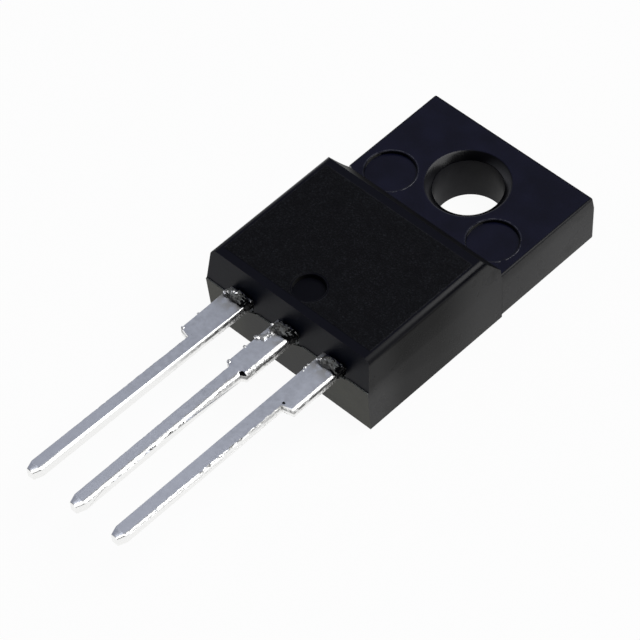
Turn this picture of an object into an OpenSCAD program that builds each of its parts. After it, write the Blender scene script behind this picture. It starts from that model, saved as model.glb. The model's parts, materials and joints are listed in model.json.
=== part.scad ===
// Power transistor in a fully moulded flat package with three leads and a mounting tab.
// It lies on its flat back with the marked face up. All sizes are millimetres and degrees.
// The origin is the mounting hole's axis at the back face. +Z leaves the marked face,
// +Y points to the end of the tab, and the leads leave towards -Y.

/* [Moulding] */
// Width across the leads, at the line where the mould halves meet
body_w = 10; // [9.6:0.1:10.6]
// Hole axis to the end of the tab
hole_to_end = 3.1; // [2.9:0.05:3.5]
// Hole axis to the front face, where the leads come out
hole_to_front = 11.8; // [11.5:0.1:12.5]
// Thickness of the main block
body_t = 4.4; // [4.2:0.05:4.8]
// Thickness of the mounting tab
tab_t = 2.65; // [2.5:0.05:2.9]
// Hole axis to the upright wall where the main block begins
hole_to_step = 3.2; // [3.1:0.05:3.4]
// Height of that wall above the tab
step_wall = 0.6; // [0.3:0.05:0.9]
// Length of the ramp from the top of the wall to the marked face
step_ramp = 0.9; // [0.6:0.05:1.2]
// Radius along the two long edges of the marked face
edge_r = 0.36; // [0.2:0.02:0.5]
// Radius of the tab's two end corners
corner_r = 0.1; // [0.05:0.05:0.8]
// Bevel along the tab's upper edges
tab_bevel = 0.1; // [0.05:0.05:0.2]
// Amount the tab's sides stand back from the block's sides
tab_inset = 0.1; // [0.05:0.05:0.3]

/* [Mould details] */
// Draft of the sides above the parting line
side_draft = 5; // [3:0.5:8]
// Draft of the front face above the parting line
front_draft = 10; // [5:0.5:12]
// Draft of every side face below the parting line
low_draft = 1.8; // [0.5:0.1:3]
// Width of the ledge that the lower mould half leaves at the front
ledge = 0.06; // [0.02:0.01:0.12]
// Back face to the parting line of the tab
tab_part_z = 2; // [1.6:0.05:2.3]
// Diameter of the two pin marks on the tab
pin_mark_d = 2.4; // [1.6:0.1:2.5]
// Distance of each pin mark from the middle
pin_mark_x = 3.15; // [3:0.05:3.3]
// Hole axis to the pin marks, towards the block
pin_mark_back = 1.78; // [1.6:0.02:1.84]
// Depth of the pin marks
pin_mark_depth = 0.15; // [0.05:0.05:0.25]
// Diameter of the round dimple in the marked face
dimple_d = 1.55; // [1:0.05:1.8]
// Front face to the centre of that dimple
dimple_back = 1.65; // [1.5:0.05:2]
// Depth of the dimple
dimple_depth = 0.25; // [0.1:0.05:0.4]
// Radius of the side notch between the block and the tab
notch_r = 0.67; // [0.4:0.01:0.7]
// Width of the fine groove beside the block on both edges of the tab
groove_w = 0.1; // [0.06:0.02:0.2]
// Length of the resin collars that sit on the leads at the front face
collar_l = 0.48; // [0.2:0.02:0.6]
// Height of the collars above the leads
collar_h = 0.4; // [0.2:0.05:0.5]
// Radius of the hollow in the front face at the right side of each lead
relief_r = 1.1; // [0.9:0.05:1.3]
// Depth of those hollows beside the left and the middle lead
relief_depth = 0.3; // [0.15:0.05:0.4]
// Depth of the shallower hollow beside the right lead
relief_depth_right = 0.12; // [0.06:0.02:0.3]

/* [Mounting hole] */
// Diameter of the hole for the fixing screw
hole_d = 3.3; // [3:0.1:3.6]
// Diameter of the countersink at the tab's upper face
sink_d = 4; // [3.7:0.05:4.2]
// Depth of the countersink
sink_depth = 0.3; // [0.1:0.05:0.5]

/* [Leads] */
// Distance between neighbouring leads, the standard grid
pitch = 2.54; // [2.5:0.01:2.58]
// Back face to the underside of the leads, which is the block's parting line
lead_z = 2.6; // [2.4:0.05:2.75]
// Thickness of the stamped leads
lead_t = 0.5; // [0.4:0.05:0.65]
// Width of the thin part of each lead
lead_w = 0.69; // [0.55:0.01:0.85]
// Length of the leads outside the moulding
lead_l = 12.85; // [8:0.05:14]
// Length of the wide root outside the moulding
root_l = 3; // [1.5:0.1:4]
// Width of the middle lead's root
root_w = 1.19; // [1:0.01:1.4]
// Outer half width of an outer lead's root
root_out = 0.93; // [0.7:0.01:1]
// Length of the bevels at the tips
tip_l = 0.43; // [0.2:0.01:0.8]
// Width left flat at the tips
tip_w = 0.36; // [0.2:0.01:0.5]
// Outward lean of the left lead's tip, as photographed
left_lean = 0.15; // [0:0.05:0.4]

/* [Hidden inside] */
// Back face to the underside of the heat spreader, the insulating layer
pad_z = 0.65; // [0.5:0.05:0.8]
// Thickness of the heat spreader
pad_t = 1.2; // [0.8:0.05:1.3]
// Width of the heat spreader
pad_w = 7.8; // [6.8:0.1:8]
// Hole axis to the spreader's arms' ends, past the screw hole
pad_past_hole = 1.2; // [0.4:0.1:1.6]
// Thickness of moulding between the screw hole and the spreader
hole_wall = 0.85; // [0.6:0.05:1]
// Length of the middle lead's level part inside the moulding
lead_in = 0.9; // [0.6:0.05:1.2]
// Width of the bond post on each outer lead
post_w = 2.3; // [1.8:0.05:2.5]
// Length of the bond posts
post_l = 1.3; // [1:0.05:1.5]
// Width and length of the silicon die
die_w = 4.2; // [2.5:0.1:5]
die_l = 3.6; // [3:0.1:4.2]
// Thickness of the die
die_t = 0.25; // [0.15:0.01:0.35]
// Thickness of the solder under the die
solder_t = 0.06; // [0.03:0.01:0.1]
// Hole axis to the middle of the die
die_back = 6.4; // [6.1:0.05:6.7]
// Diameter of the gate wire
gate_wire_d = 0.15; // [0.1:0.01:0.2]
// Diameter of the two source wires
source_wire_d = 0.3; // [0.2:0.01:0.38]
// Height of the wires' runs above the leads
wire_rise = 0.5; // [0.45:0.01:0.55]

/* [Hidden] */
$fn = 64;
half_w = body_w / 2;
front_y = -hole_to_front;
step_y = -hole_to_step;
lead_top = lead_z + lead_t;
pad_top = pad_z + pad_t;
tab_half = half_w - tab_inset;
hole_r = hole_d / 2;
lead_half = lead_w / 2;
shoulder_y = front_y - root_l;
tip_y = front_y - lead_l;
shoulder_run = 0.15;
groove_depth = 0.12;
post_inner = 0.7;
root_in = lead_half;
lock_hole_r = 0.28;
collar_w = 0.95;
// Collars and hollows lie this far to the right of a lead's axis or side.
collar_shift = 0.12;
relief_rise = 0.15;
// Where each wire is bonded, as shares of the die's size from its middle.
gate_bond = [-0.38, -0.4];
inner_bond = [0.19, -0.14];
outer_bond = [0.4, 0.11];
// Where each wire lands, as shares of the post's width from its inner edge.
gate_landing = 0.46;
inner_landing = 0.2;
outer_landing = 0.52;
lock_hole_place = 0.76;
// The middle lead steps down at 45 degrees, so it drops as far as it runs.
crank_y = front_y + lead_in;
pad_y = crank_y + lead_top - pad_top;
post_y = crank_y - 0.25;
die_top = pad_top + solder_t + die_t;
run_z = lead_top + wire_rise;
bend_r = 0.3;

// Draws a section seen from the front and extrudes it along Y, from y0 to y1.
module along_y(y0, y1) {
    translate([0, y1, 0])
        rotate([90, 0, 0])
            linear_extrude(y1 - y0)
                children();
}

// Draws a side profile and extrudes it along X, evenly about the middle plane.
module along_x(width, middle = 0) {
    translate([middle - width / 2, 0, 0])
        rotate([90, 0, 90])
            linear_extrude(width)
                children();
}

// Section of the main block: drafted below and above the parting line, round upper edges.
module block_section() {
    foot = half_w - lead_z * tan(low_draft);
    arc_z = body_t - edge_r;
    arc_x = half_w - tan(side_draft) * (arc_z - lead_z) - edge_r / cos(side_draft);
    side_x = arc_x + edge_r * cos(side_draft);
    side_z = arc_z + edge_r * sin(side_draft);
    polygon([
        [-foot, 0], [foot, 0], [half_w, lead_z], [side_x, side_z], [arc_x, body_t],
        [-arc_x, body_t], [-side_x, side_z], [-half_w, lead_z]
    ]);
    for (side = [-1, 1])
        translate([side * arc_x, arc_z])
            circle(edge_r);
}

// Side profile of the main block, with the ledge at the front and the ramp at the back.
module block_profile() {
    face_y = front_y + ledge;
    polygon([
        [front_y + lead_z * tan(low_draft), 0],
        [front_y, lead_z],
        [face_y, lead_z],
        [face_y + (body_t - lead_z) * tan(front_draft), body_t],
        [step_y - step_ramp, body_t],
        [step_y, tab_t + step_wall],
        [step_y, 0]
    ]);
}

module tab_section() {
    foot = tab_half - tab_part_z * tan(low_draft);
    head = tab_half - (tab_t - tab_part_z) * tan(side_draft);
    brow = head + tab_bevel * tan(side_draft);
    polygon([
        [-foot, 0], [foot, 0], [tab_half, tab_part_z], [brow, tab_t - tab_bevel], [head - tab_bevel, tab_t],
        [tab_bevel - head, tab_t], [-brow, tab_t - tab_bevel], [-tab_half, tab_part_z]
    ]);
}

module tab_profile() {
    end = hole_to_end - (tab_t - tab_part_z) * tan(side_draft);
    polygon([
        [step_y - 0.5, 0],
        [hole_to_end - tab_part_z * tan(low_draft), 0],
        [hole_to_end, tab_part_z],
        [end + tab_bevel * tan(side_draft), tab_t - tab_bevel],
        [end - tab_bevel, tab_t],
        [step_y - 0.5, tab_t]
    ]);
}

// Outline of the tab from above: rounded end corners, and a narrow neck that leaves the groove.
module tab_plan() {
    neck = tab_half - groove_depth;
    start = step_y + groove_w;
    translate([-tab_half, start])
        square([tab_half * 2, hole_to_end - corner_r - start]);
    translate([corner_r - tab_half, start])
        square([(tab_half - corner_r) * 2, hole_to_end - start]);
    for (side = [-1, 1])
        translate([side * (tab_half - corner_r), hole_to_end - corner_r])
            circle(corner_r);
    translate([-neck, step_y - 0.5])
        square([neck * 2, groove_w + 1]);
}

// The outside of the moulding with everything that the mould leaves in it.
module moulding_shape() {
    difference() {
        union() {
            difference() {
                intersection() {
                    along_y(front_y - 1, step_y)
                        block_section();
                    along_x(body_w + 1)
                        block_profile();
                }
                relief(root_in - pitch, relief_depth);
                relief(root_w / 2, relief_depth);
                relief(pitch + root_out, relief_depth_right);
            }
            intersection() {
                along_y(step_y - 0.5, hole_to_end + 1)
                    tab_section();
                along_x(body_w + 1)
                    tab_profile();
                linear_extrude(tab_t)
                    tab_plan();
            }
            for (i = [-1, 0, 1])
                collar(i * pitch);
        }
        translate([0, 0, -1])
            cylinder(r = hole_r, h = tab_t + 2);
        translate([0, 0, tab_t - sink_depth])
            cylinder(r1 = hole_r, r2 = sink_d - hole_r, h = sink_depth * 2);
        for (side = [-1, 1])
            translate([side * pin_mark_x, -pin_mark_back, tab_t - pin_mark_depth])
                cylinder(d = pin_mark_d, h = pin_mark_depth + 0.1);
        translate([0, front_y + dimple_back, body_t - dimple_depth])
            cylinder(d = dimple_d, h = dimple_depth + 1);
        translate([-half_w, step_y - 0.18, -1])
            cylinder(r = notch_r, h = body_t + 2);
    }
}

// Resin that flowed over a lead at the front face before the mould was full, narrower at its top.
module collar(x) {
    back = front_y + 0.6;
    intersection() {
        along_x(collar_w, x + collar_shift)
            polygon([
                [front_y - collar_l, lead_top],
                [front_y - collar_l, lead_top + collar_h * 0.6],
                [front_y - collar_l * 0.6, lead_top + collar_h],
                [back, lead_top + collar_h],
                [back, lead_top]
            ]);
        along_y(front_y - 1, back)
            translate([x + collar_shift, lead_top])
                polygon([
                    [-collar_w / 2, 0],
                    [collar_w / 2, 0],
                    [collar_w / 2, collar_h / 2],
                    [collar_w / 4, collar_h],
                    [-collar_w / 3, collar_h],
                    [-collar_w / 2, collar_h * 0.7]
                ]);
    }
}

// A round hollow in the front face, at the right side of a lead. Its middle is just above the parting line.
module relief(x, depth) {
    translate([x, front_y + depth - relief_r, lead_z + relief_rise])
        sphere(relief_r);
}

// Outline of an outer lead from above. The first coordinate grows outwards from the lead's axis.
module outer_lead_plan(lean) {
    post_end = post_y + post_l;
    difference() {
        polygon([
            [-post_inner, post_end],
            [post_w - post_inner, post_end],
            [post_w - post_inner, post_y],
            [root_out, post_y],
            [root_out, shoulder_y],
            [lead_half, shoulder_y - shoulder_run],
            [lead_half + lean, tip_y + tip_l],
            [tip_w / 2 + lean, tip_y],
            [-tip_w / 2 + lean, tip_y],
            [-lead_half + lean, tip_y + tip_l],
            [-lead_half, post_y],
            [-post_inner, post_y]
        ]);
        translate([post_w * lock_hole_place - post_inner, post_y + post_l / 2])
            circle(lock_hole_r);
    }
}

module outer_lead(side, lean) {
    translate([side * pitch, 0, lead_z])
        linear_extrude(lead_t)
            if (side < 0)
                mirror([1, 0])
                    outer_lead_plan(lean);
            else
                outer_lead_plan(lean);
}

module gate_lead_shape() {
    outer_lead(-1, left_lean);
}

module source_lead_shape() {
    outer_lead(1, 0);
}

// The middle lead, its crank and the heat spreader are one stamped piece.
module drain_shape() {
    bend = lead_t * tan(22.5);
    translate([0, 0, lead_z])
        linear_extrude(lead_t)
            polygon([
                [-root_w / 2, crank_y - 0.3],
                [-root_w / 2, shoulder_y],
                [-lead_half, shoulder_y - shoulder_run],
                [-lead_half, tip_y + tip_l],
                [-tip_w / 2, tip_y],
                [tip_w / 2, tip_y],
                [lead_half, tip_y + tip_l],
                [lead_half, shoulder_y - shoulder_run],
                [root_w / 2, shoulder_y],
                [root_w / 2, crank_y - 0.3]
            ]);
    along_x(root_w)
        polygon([
            [crank_y - 0.3, lead_top],
            [crank_y - 0.3, lead_z],
            [crank_y - bend, lead_z],
            [pad_y - bend, pad_top - lead_t],
            [pad_y + 0.5, pad_top - lead_t],
            [pad_y + 0.5, pad_top],
            [pad_y, pad_top],
            [crank_y, lead_top]
        ]);
    translate([0, 0, pad_z])
        linear_extrude(pad_t)
            difference() {
                translate([-pad_w / 2, pad_y])
                    square([pad_w, pad_past_hole - pad_y]);
                circle(hole_r + hole_wall);
            }
}

module solder_shape() {
    translate([-die_w / 2 - 0.1, -die_back - die_l / 2 - 0.1, pad_top])
        cube([die_w + 0.2, die_l + 0.2, solder_t]);
}

module die_shape() {
    translate([-die_w / 2, -die_back - die_l / 2, pad_top + solder_t])
        cube([die_w, die_l, die_t]);
}

// A bond wire: up from the die, level across, and down onto a post.
module wire(from, to, r) {
    run = norm(to - from);
    heading = atan2(to[1] - from[1], to[0] - from[0]);
    translate([from[0], from[1], 0])
        rotate([0, 0, heading]) {
            translate([0, 0, die_top])
                cylinder(r = r, h = run_z - bend_r - die_top);
            translate([bend_r, 0, run_z - bend_r])
                rotate([90, -90, 0])
                    rotate_extrude(angle = 90)
                        translate([bend_r, 0])
                            circle(r, $fn = 24);
            translate([bend_r, 0, run_z])
                rotate([0, 90, 0])
                    cylinder(r = r, h = run - 2 * bend_r);
            translate([run - bend_r, 0, run_z - bend_r])
                rotate([90, 0, 0])
                    rotate_extrude(angle = 90)
                        translate([bend_r, 0])
                            circle(r, $fn = 24);
            translate([run, 0, lead_top])
                cylinder(r = r, h = run_z - bend_r - lead_top);
        }
}

// A place on the die's upper face, from shares of its width and length.
function on_die(share) = [die_w * share[0], die_l * share[1] - die_back];

// A place on an outer lead's bond post, from a share of the post's width.
function on_post(side, share) = [side * (pitch - post_inner + post_w * share), post_y + post_l / 2];

module gate_wire_shape() {
    wire(on_die(gate_bond), on_post(-1, gate_landing), gate_wire_d / 2);
}

module inner_source_shape() {
    wire(on_die(inner_bond), on_post(1, inner_landing), source_wire_d / 2);
}

module outer_source_shape() {
    wire(on_die(outer_bond), on_post(1, outer_landing), source_wire_d / 2);
}

module moulded_body() {
    color([0.035, 0.036, 0.042])
        difference() {
            moulding_shape();
            drain_shape();
            gate_lead_shape();
            source_lead_shape();
            solder_shape();
            die_shape();
            gate_wire_shape();
            inner_source_shape();
            outer_source_shape();
        }
}

module drain_lead() {
    color([0.62, 0.63, 0.68])
        drain_shape();
}

module gate_lead() {
    color([0.62, 0.63, 0.68])
        gate_lead_shape();
}

module source_lead() {
    color([0.62, 0.63, 0.68])
        source_lead_shape();
}

module silicon_die() {
    color([0.3, 0.32, 0.38])
        die_shape();
}

module die_solder() {
    color([0.6, 0.6, 0.62])
        solder_shape();
}

module gate_wire() {
    color([0.8, 0.8, 0.82])
        gate_wire_shape();
}

module source_wire_inner() {
    color([0.8, 0.8, 0.82])
        inner_source_shape();
}

module source_wire_outer() {
    color([0.8, 0.8, 0.82])
        outer_source_shape();
}

moulded_body();
drain_lead();
gate_lead();
source_lead();
silicon_die();
die_solder();
gate_wire();
source_wire_inner();
source_wire_outer();
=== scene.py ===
"""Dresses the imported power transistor: a moulded body, three plated leads and a pale studio."""
import json
import math
import random

import bmesh
import bpy
from bpy.props import FloatProperty, FloatVectorProperty, PointerProperty
from mathutils import Matrix, Vector, noise


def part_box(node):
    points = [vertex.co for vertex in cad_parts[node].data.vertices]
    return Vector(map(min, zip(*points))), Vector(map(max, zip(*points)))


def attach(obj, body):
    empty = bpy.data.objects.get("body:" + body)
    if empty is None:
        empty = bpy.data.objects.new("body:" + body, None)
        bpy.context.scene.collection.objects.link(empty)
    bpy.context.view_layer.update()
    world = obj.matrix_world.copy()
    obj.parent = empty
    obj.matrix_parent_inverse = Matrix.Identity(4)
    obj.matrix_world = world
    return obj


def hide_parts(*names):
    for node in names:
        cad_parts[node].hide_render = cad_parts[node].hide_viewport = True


bl_info = {
    "name": "Moulded power transistor",
    "version": (1, 0, 0),
    "blender": (4, 5, 0),
    "location": "3D View > Sidebar > Transistor",
    "description": "Models and finishes a three-lead power transistor with a mounting tab",
    "category": "Object",
}

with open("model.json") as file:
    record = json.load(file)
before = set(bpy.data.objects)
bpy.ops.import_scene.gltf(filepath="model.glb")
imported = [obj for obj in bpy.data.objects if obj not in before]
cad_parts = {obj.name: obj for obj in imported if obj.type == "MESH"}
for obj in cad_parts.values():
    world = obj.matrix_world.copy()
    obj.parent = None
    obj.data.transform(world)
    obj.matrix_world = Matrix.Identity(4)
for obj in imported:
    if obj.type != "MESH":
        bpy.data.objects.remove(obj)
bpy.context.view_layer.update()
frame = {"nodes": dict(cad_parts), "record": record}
NODES = frame["nodes"]
MM = 0.001
LEADS = ("gate_lead", "drain_lead", "source_lead")
MOUNTS = {mount["name"]: mount for mount in frame["record"]["mounts"]}

# Where things are, in millimetres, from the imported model
BODY_LOW, BODY_HIGH = (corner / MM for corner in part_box("moulded_body"))
LEAD_LOW, LEAD_HIGH = (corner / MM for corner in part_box("source_lead"))
TIP = LEAD_LOW.y
HALF_WIDTH = BODY_HIGH.x
TAB_END = BODY_HIGH.y
THICKNESS = BODY_HIGH.z
PARTING = LEAD_LOW.z
LEAD_TOP = LEAD_HIGH.z
HOLE_RADIUS = MOUNTS["mounting_hole"]["dims"]["r_mm"]

# How far each lead's root reaches to the left and right of its axis
ROOTS = {"gate_lead": (0.93, 0.345), "drain_lead": (0.595, 0.595), "source_lead": (0.345, 0.93)}

# Small roundings of the real edges
BLOCK_ROUND = 0.028
CORNER_ROUND = 0.07
FOOT_ROUND = 0.04
LEAD_ROUND = 0.03

# Distances that only help the building
NEAR = 0.01  # within this a point counts as on a face
OVER = 1  # how far a cutting tool stands out of what it cuts
TONGUE = 0.5  # how far the tab reaches into the block
SHORTEST_EDGE = 0.006  # shorter edges of the block are merged
SLIVER = 3e-4  # points as near as this are one after a join or a cut
TEAR_STEP = 0.06  # length of the runs that a torn edge is cut into

# Starts of the random draws and of the noise
BODY_SEED = 4
LEAD_SEED = 11

PHOTO_WIDTH = 640


def length(name, about, value):
    """A size in millimetres that shows in the panel as a distance."""
    return FloatProperty(name=name, description=about, default=value * MM, unit="LENGTH", precision=5)


def angle(name, about, degrees):
    return FloatProperty(name=name, description=about, default=math.radians(degrees), unit="ROTATION")


def colour(name, about, value):
    return FloatVectorProperty(
        name=name, description=about, default=value, subtype="COLOR", size=3, min=0, max=1)


def amount(name, about, value):
    return FloatProperty(name=name, description=about, default=value, min=0, max=1, subtype="FACTOR")


class TransistorBody(bpy.types.PropertyGroup):
    """Sizes of the body and the leads that the frame's boxes don't give."""

    front: length("Front", "Hole axis to the face that the leads leave", 11.8)
    step: length("Step", "Hole axis to the upright wall of the main block", 3.2)
    wall: length("Step wall", "Height of that wall above the tab", 0.6)
    ramp: length("Ramp", "Length of the ramp above the wall", 0.9)
    tab_thickness: length("Tab thickness", "Thickness of the mounting tab", 2.65)
    tab_parting: length("Tab parting", "Back face to the tab's parting line", 2.0)
    tab_inset: length("Tab inset", "Amount the tab is narrower on each side", 0.1)
    ledge: length("Ledge", "Width of the ledge at the front parting line", 0.06)
    edge_radius: length("Long edge radius", "Radius along the marked face's long edges", 0.36)
    corner_radius: length("Tab corner radius", "Radius of the tab's end corners", 0.1)
    tab_bevel: length("Tab bevel", "Bevel along the tab's upper edges", 0.1)
    side_draft: angle("Side draft", "Draft of the sides above the parting line", 5)
    front_draft: angle("Front draft", "Draft of the front above the parting line", 10)
    low_draft: angle("Lower draft", "Draft of every side below the parting line", 1.8)
    sink_radius: length("Countersink radius", "Radius of the countersink at the tab's face", 2.0)
    sink_depth: length("Countersink depth", "Depth of the countersink", 0.3)
    mark_radius: length("Pin mark radius", "Radius of the ejector pin marks", 1.2)
    mark_side: length("Pin mark offset", "Pin marks from the middle", 3.15)
    mark_back: length("Pin mark distance", "Hole axis to the pin marks", 1.78)
    mark_depth: length("Pin mark depth", "Depth of the pin marks", 0.15)
    dimple_radius: length("Dimple radius", "Radius of the dimple in the marked face", 0.775)
    dimple_back: length("Dimple distance", "Front face to the dimple's centre", 1.65)
    dimple_depth: length("Dimple depth", "Depth of the dimple", 0.25)
    notch_radius: length("Notch radius", "Radius of the side notch", 0.67)
    groove_width: length("Groove width", "Width of the groove beside the block", 0.1)
    groove_depth: length("Groove depth", "Depth of that groove", 0.12)
    dip: length("Dip", "How far the parting line sags beside the left and middle lead", 0.45)
    dip_right: length("Right dip", "How far it sags beside the right lead", 0.18)
    rolled_edge: length("Rolled edge", "Edge that the punch rolled at the right of each lead", 0.16)
    shoulder: length("Shoulder", "Front face to the leads' shoulders", 3)


class TransistorFinish(bpy.types.PropertyGroup):
    """Colours of the compound, the resin and the metals."""

    compound: colour("Compound", "Moulding compound", (0.0038, 0.0040, 0.0066))
    flash: colour("Flash", "Torn resin round the lead roots", (0.075, 0.075, 0.072))
    plating: colour("Plating", "Tin on the leads", (0.66, 0.69, 0.77))
    sheared: colour("Sheared metal", "Bright cut sides of the leads", (0.92, 0.92, 0.91))
    silicon: colour("Silicon", "The die's metallised face", (0.3, 0.32, 0.38))
    solder: colour("Solder", "Solder under the die", (0.45, 0.45, 0.47))
    wire: colour("Bond wire", "Aluminium bond wires", (0.8, 0.8, 0.82))


class TransistorStudio(bpy.types.PropertyGroup):
    """Camera and light, read from the photograph."""

    azimuth: angle("Azimuth", "Camera's direction round the part", 48.23)
    elevation: angle("Elevation", "Camera's height above the horizon", 50.40)
    roll: angle("Roll", "Camera's tilt about its own axis", -5.26)
    distance: length("Distance", "Camera to the aimed point", 167.77)
    aim_x: length("Aim X", "Aimed point, across the part", -0.426)
    aim_y: length("Aim Y", "Aimed point, along the part", -9.3235)
    aim_z: length("Aim Z", "Aimed point, above the floor", 1.063)
    focal_pixels: FloatProperty(
        name="Focal length", description="In pixels of a 640 wide frame", default=3766.1)
    sky: amount("Sky", "Brightness of the room on the far side of the part", 0.17)
    front_glow: amount("Front glow", "Brightness of the room low down at the front left", 0.9)
    horizon: amount("Horizon", "Brightness that the room gains towards its lit side", 0.75)
    key: FloatProperty(name="Key", description="Power of the overhead softbox in watts", default=1.7)
    key_width: length("Key width", "Width of the overhead softbox", 380)


def sizes(context):
    """The body's sizes in millimetres and radians, by name."""
    group = context.scene.transistor_body
    found = {}
    for name, setting in group.bl_rna.properties.items():
        if setting.type == "FLOAT":
            value = getattr(group, name)
            found[name] = value if setting.unit == "ROTATION" else value / MM
    return found


# Mesh work, in millimetres until a piece is placed


def only(kind, items):
    return [item for item in items if isinstance(item, kind)]


def extrude_profile(bm, profile, width):
    """Fills a side profile of (y, z) points and extrudes it evenly about the middle plane."""
    face = bm.faces.new([bm.verts.new((-width / 2, y, z)) for y, z in profile])
    moved = bmesh.ops.extrude_face_region(bm, geom=[face])
    bmesh.ops.translate(bm, verts=only(bmesh.types.BMVert, moved["geom"]), vec=(width, 0, 0))
    bmesh.ops.recalc_face_normals(bm, faces=bm.faces)


def whole(bm):
    return [*bm.verts, *bm.edges, *bm.faces]


def split_at_height(bm, height):
    bmesh.ops.bisect_plane(bm, geom=whole(bm), plane_co=(0, 0, height), plane_no=(0, 0, 1))


def cut_away(bm, point, normal):
    """Removes what lies on the normal's side of a plane and closes the cut."""
    cut = bmesh.ops.bisect_plane(
        bm, geom=whole(bm), plane_co=point, plane_no=normal, clear_outer=True)
    bmesh.ops.contextual_create(bm, geom=only(bmesh.types.BMEdge, cut["geom_cut"]))


def bevel(bm, edges, offset, segments):
    edges = list(edges)
    if not edges:
        raise RuntimeError("no edge was found for a bevel")
    bmesh.ops.bevel(
        bm, geom=edges, offset=offset, offset_type="OFFSET", segments=segments, profile=0.5,
        affect="EDGES", clamp_overlap=True, material=-1)


def run_along(edge, axis):
    """True if the edge runs along that axis."""
    run = (edge.verts[1].co - edge.verts[0].co).normalized()
    return abs(run[axis]) > 0.98


def rise_of(edge):
    """How much higher one end lies than the other."""
    return abs(edge.verts[0].co.z - edge.verts[1].co.z)


def both_ends(edge, test):
    return all(test(vert.co) for vert in edge.verts)


def sharp_edges(bm, within=None, least=25):
    """The outward edges that turn by more than least degrees, where both ends pass the test."""
    return [edge for edge in bm.edges
            if edge.is_convex and edge.calc_face_angle(0) > math.radians(least)
            and (within is None or both_ends(edge, within))]


def in_order(mesh):
    """Puts a mesh's points and faces in a fixed order, which joins and bevels don't keep."""
    points = [tuple(vert.co) for vert in mesh.vertices]
    order = sorted(range(len(points)), key=points.__getitem__)
    rank = {old: new for new, old in enumerate(order)}
    faces = []
    for polygon in mesh.polygons:
        ring = [rank[index] for index in polygon.vertices]
        start = ring.index(min(ring))
        faces.append(ring[start:] + ring[:start])
    mesh.clear_geometry()
    mesh.from_pydata([points[index] for index in order], [], sorted(faces))


def settle(bm):
    """The same for a mesh in the making, before a step that depends on the order."""
    mesh = bpy.data.meshes.new("settled")
    bm.to_mesh(mesh)
    in_order(mesh)
    bm.clear()
    bm.from_mesh(mesh)
    bpy.data.meshes.remove(mesh)


def make_object(bm, name, scale=1):
    bmesh.ops.recalc_face_normals(bm, faces=bm.faces)
    mesh = bpy.data.meshes.new(name)
    bm.to_mesh(mesh)
    bm.free()
    in_order(mesh)
    mesh.transform(Matrix.Scale(scale, 4))
    piece = bpy.data.objects.new(name, mesh)
    bpy.context.scene.collection.objects.link(piece)
    return piece


def merge_slivers(mesh):
    """Closes the hair-thin faces that a cut leaves where two planes nearly meet."""
    in_order(mesh)
    bm = bmesh.new()
    bm.from_mesh(mesh)
    bmesh.ops.remove_doubles(bm, verts=bm.verts, dist=SLIVER)
    bmesh.ops.dissolve_degenerate(bm, dist=SLIVER, edges=bm.edges)
    bm.to_mesh(mesh)
    bm.free()
    in_order(mesh)


def combine(target, tool, operation):
    """Joins or cuts target with tool, exactly, and deletes tool."""
    step = target.modifiers.new("combine", "BOOLEAN")
    step.operation = operation
    step.object = tool
    step.solver = "EXACT"
    graph = bpy.context.evaluated_depsgraph_get()
    made = bpy.data.meshes.new_from_object(target.evaluated_get(graph))
    merge_slivers(made)
    target.modifiers.clear()
    old = target.data
    target.data = made
    bpy.data.meshes.remove(old)
    mesh = tool.data
    bpy.data.objects.remove(tool)
    bpy.data.meshes.remove(mesh)
    if not target.data.polygons:
        raise RuntimeError(f"{operation.lower()} left nothing of {target.name}")


def draft_sides(bm, parting, s):
    """Leans the sides inwards both ways from a parting line; returns each point's lean."""
    leans = []
    for vert in bm.verts:
        above = vert.co.z - parting
        lean = above * math.tan(s["side_draft"]) if above > 0 else -above * math.tan(s["low_draft"])
        vert.co.x -= math.copysign(lean, vert.co.x)
        leans.append((vert, lean))
    return leans


def block(s):
    """The main block: two drafted mould halves, round long edges, and the ramp down to the tab."""
    bm = bmesh.new()
    lift = THICKNESS - PARTING
    face = s["ledge"] - s["front"]
    extrude_profile(bm, [
        (PARTING * math.tan(s["low_draft"]) - s["front"], 0),
        (-s["front"], PARTING),
        (face, PARTING),
        (face + lift * math.tan(s["front_draft"]), THICKNESS),
        (-s["step"], THICKNESS),
        (-s["step"], PARTING),
        (-s["step"], 0),
    ], HALF_WIDTH * 2)
    split_at_height(bm, PARTING)
    draft_sides(bm, PARTING, s)

    def at_marked_face(co):
        return co.z > THICKNESS - NEAR

    def at_front(co):
        return co.y < 1 - s["front"]

    along = [e for e in bm.edges if run_along(e, 1) and both_ends(e, at_marked_face)]
    bevel(bm, along, s["edge_radius"] * math.tan((math.pi / 2 - s["side_draft"]) / 2), 10)
    cut_away(bm, (0, -s["step"], s["tab_thickness"] + s["wall"]),
             (0, THICKNESS - s["tab_thickness"] - s["wall"], s["ramp"]))
    corners = [e for e in bm.edges
               if e.calc_face_angle(0) > 1 and both_ends(e, at_front) and rise_of(e) > 1]
    bevel(bm, corners, CORNER_ROUND, 4)
    settle(bm)
    sag_ledge(bm, s)
    settle(bm)
    bevel(bm, sharp_edges(bm), BLOCK_ROUND, 2)
    settle(bm)
    bmesh.ops.remove_doubles(bm, verts=bm.verts, dist=SHORTEST_EDGE)
    return make_object(bm, "moulded_body_piece")


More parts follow.
